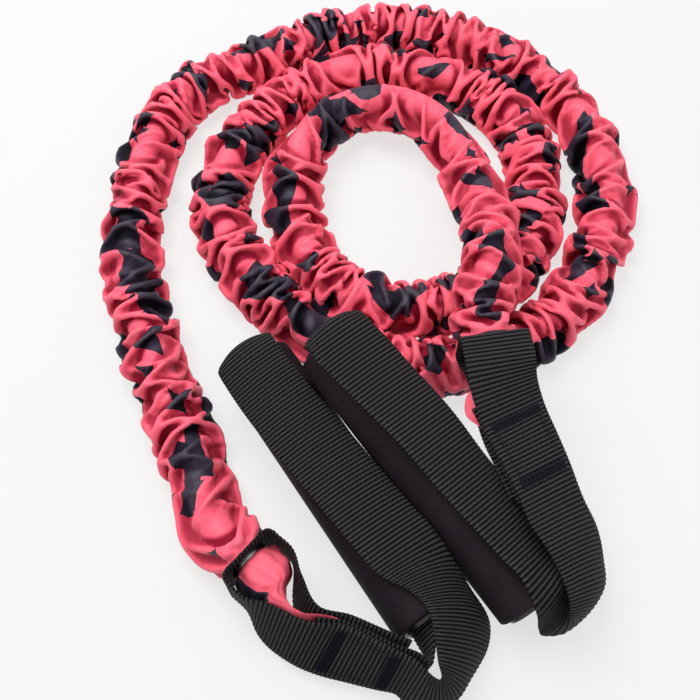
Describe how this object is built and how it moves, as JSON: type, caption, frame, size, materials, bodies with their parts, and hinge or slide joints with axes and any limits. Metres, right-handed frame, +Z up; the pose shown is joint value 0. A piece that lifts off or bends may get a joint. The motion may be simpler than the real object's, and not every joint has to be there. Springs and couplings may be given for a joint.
{
  "type": "resistance tube with handles",
  "caption": "Latex exercise tube in a gathered printed fabric sleeve, laid down in a loose spiral, with a webbing handle and foam grip at each end.",
  "frame": {"origin": "on the surface that the object rests on, under the middle of the box round its two handles", "axes": "+Z up from the surface, +Y from the handles towards the far side of the spiral, +X to the right"},
  "size_m": [0.2178, 0.3083, 0.0496],
  "materials": {
    "sleeve_fabric": "satin",
    "latex": "matte",
    "plug_plastic": "matte",
    "webbing": "woven",
    "thread": "satin",
    "eyelet_steel": "polished",
    "core_plastic": "gloss",
    "foam": "matte"
  },
  "bodies": {
    "tube": {"sleeve": "sleeve_fabric", "latex_tube": "latex"},
    "handle_a": {"strap_a": "webbing", "eyelet_a": "eyelet_steel", "eyelet_washer_a": "eyelet_steel", "tube_plug_a": "plug_plastic", "sleeve_tail_a": "sleeve_fabric", "bartack_inner_front_a": "thread", "bartack_inner_back_a": "thread", "bartack_outer_front_a": "thread", "bartack_outer_back_a": "thread", "box_stitch_left_a": "thread", "box_stitch_right_a": "thread"},
    "grip_a": {"grip_core_a": "core_plastic", "foam_grip_a": "foam"},
    "handle_b": {"strap_b": "webbing", "eyelet_b": "eyelet_steel", "eyelet_washer_b": "eyelet_steel", "tube_plug_b": "plug_plastic", "sleeve_tail_b": "sleeve_fabric", "bartack_inner_front_b": "thread", "bartack_inner_back_b": "thread", "bartack_outer_front_b": "thread", "bartack_outer_back_b": "thread", "box_stitch_left_b": "thread", "box_stitch_right_b": "thread"},
    "grip_b": {"grip_core_b": "core_plastic", "foam_grip_b": "foam"}
  },
  "joints": [
    {"name": "handle_a_lift", "type": "hinge", "parent": "tube", "child": "handle_a", "pos_m": [-0.05575, -0.0163, 0.009], "axis": [0.094, -0.9956, 0], "range_deg": [0, 60], "deforming": ["sleeve", "latex_tube"]},
    {"name": "grip_a_spin", "type": "hinge", "parent": "handle_a", "child": "grip_a", "pos_m": [0.00725, -0.036, 0.014], "axis": [0.5548, -0.832, 0], "continuous": true},
    {"name": "handle_b_lift", "type": "hinge", "parent": "tube", "child": "handle_b", "pos_m": [0.03095, 0.0579, 0.0319], "axis": [-0.9249, 0.2921, 0.2434], "range_deg": [0, 60], "deforming": ["sleeve", "latex_tube"]},
    {"name": "grip_b_spin", "type": "hinge", "parent": "handle_b", "child": "grip_b", "pos_m": [0.04245, -0.0304, 0.014], "axis": [0.61, -0.7724, -0.177], "continuous": true}
  ]
}
